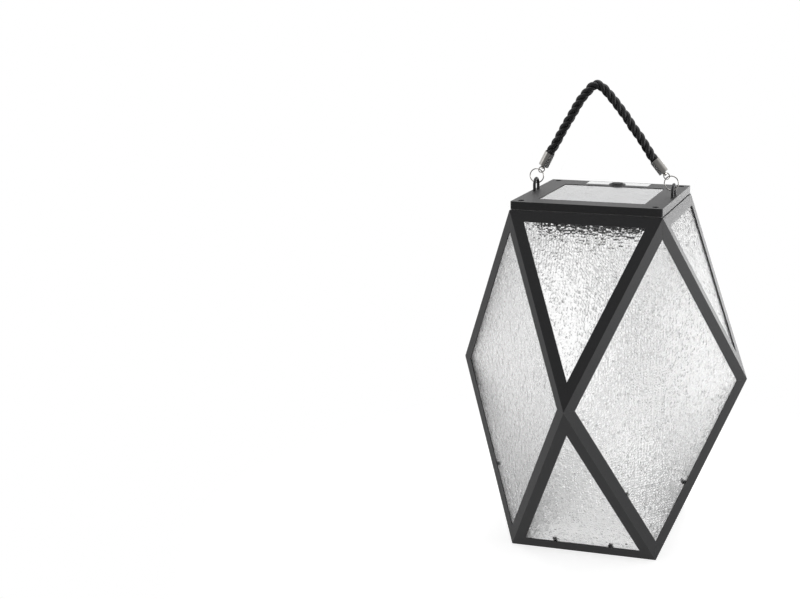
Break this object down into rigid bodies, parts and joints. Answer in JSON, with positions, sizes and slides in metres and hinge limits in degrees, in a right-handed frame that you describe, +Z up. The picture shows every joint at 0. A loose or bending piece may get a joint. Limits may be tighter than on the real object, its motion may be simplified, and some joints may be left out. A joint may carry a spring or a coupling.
{
  "type": "solar lantern",
  "caption": "Faceted black metal lantern with hammered glass panes, a screwed-down solar lid with a push button, and a swinging rope handle on eyelets.",
  "frame": {"origin": "centre of the square base, on the floor", "axes": "+Z up, -Y towards the front face, +X to the right eyelet"},
  "size_m": [0.3, 0.3, 0.4662],
  "materials": {
    "powder_coat": "satin black powder coat with a fine grain",
    "hammered_glass": "clear glass with a hammered, rain-drop surface",
    "lid_plastic": "fine-textured black moulding",
    "gasket_rubber": "dull black rubber",
    "black_screw": "blackened steel",
    "solar_silicon": "dark silicon cells with thin silver lines",
    "cover_glass": "clear flat cover",
    "button_rubber": "soft matt black",
    "label_film": "pale satin film with no print",
    "circuit_laminate": "green solder mask",
    "led_white": "white solder mask with yellowish light chips",
    "lens_white": "opal white diffuser",
    "cell_wrap": "plain shrink sleeve",
    "nickel_plate": "bright nickel plate",
    "rope_fibre": "black twisted cord with a silky sheen",
    "wire_sleeve": "smooth black insulation"
  },
  "bodies": {
    "lantern": {"upper_frame_front": "powder_coat", "upper_frame_right": "powder_coat", "upper_frame_back": "powder_coat", "upper_frame_left": "powder_coat", "lower_frame_front": "powder_coat", "lower_frame_right": "powder_coat", "lower_frame_back": "powder_coat", "lower_frame_left": "powder_coat", "upper_pane_front": "hammered_glass", "upper_pane_right": "hammered_glass", "upper_pane_back": "hammered_glass", "upper_pane_left": "hammered_glass", "lower_pane_front": "hammered_glass", "lower_pane_right": "hammered_glass", "lower_pane_back": "hammered_glass", "lower_pane_left": "hammered_glass", "corner_pane_front_right": "hammered_glass", "corner_pane_back_right": "hammered_glass", "corner_pane_back_left": "hammered_glass", "corner_pane_front_left": "hammered_glass", "triangle_pane_clips": "powder_coat", "corner_pane_clips": "powder_coat", "lid_seat_ring": "powder_coat", "base_ring": "powder_coat", "solar_lid": "lid_plastic", "lid_gasket": "gasket_rubber", "lid_screws": "black_screw", "solar_cells": "solar_silicon", "solar_cover_glass": "cover_glass", "button_bezel": "lid_plastic", "button_label": "label_film", "switch_board": "circuit_laminate", "electronics_housing": "lid_plastic", "housing_screws": "nickel_plate", "battery_holder": "lid_plastic", "battery_cells": "cell_wrap", "battery_contacts": "nickel_plate", "circuit_board": "circuit_laminate", "led_board": "led_white", "led_lens": "lens_white", "lead_wires": "wire_sleeve", "eyelet_left": "powder_coat", "eyelet_right": "powder_coat", "eyelet_nuts": "nickel_plate"},
    "button": {"power_button": "button_rubber"},
    "handle": {"large_ring_left": "nickel_plate", "large_ring_right": "nickel_plate", "small_ring_left": "nickel_plate", "small_ring_right": "nickel_plate", "ferrule_left": "nickel_plate", "ferrule_right": "nickel_plate", "rope_handle": "rope_fibre"}
  },
  "joints": [
    {"name": "handle_swing", "type": "hinge", "parent": "lantern", "child": "handle", "pos_m": [0, 0, 0.3611], "axis": [1, 0, 0], "range_deg": [-90, 90]},
    {"name": "button_press", "type": "slide", "parent": "lantern", "child": "button", "axis": [0, 0, -1], "range_m": [0, 0.001], "stiffness_N_per_m": 300}
  ]
}
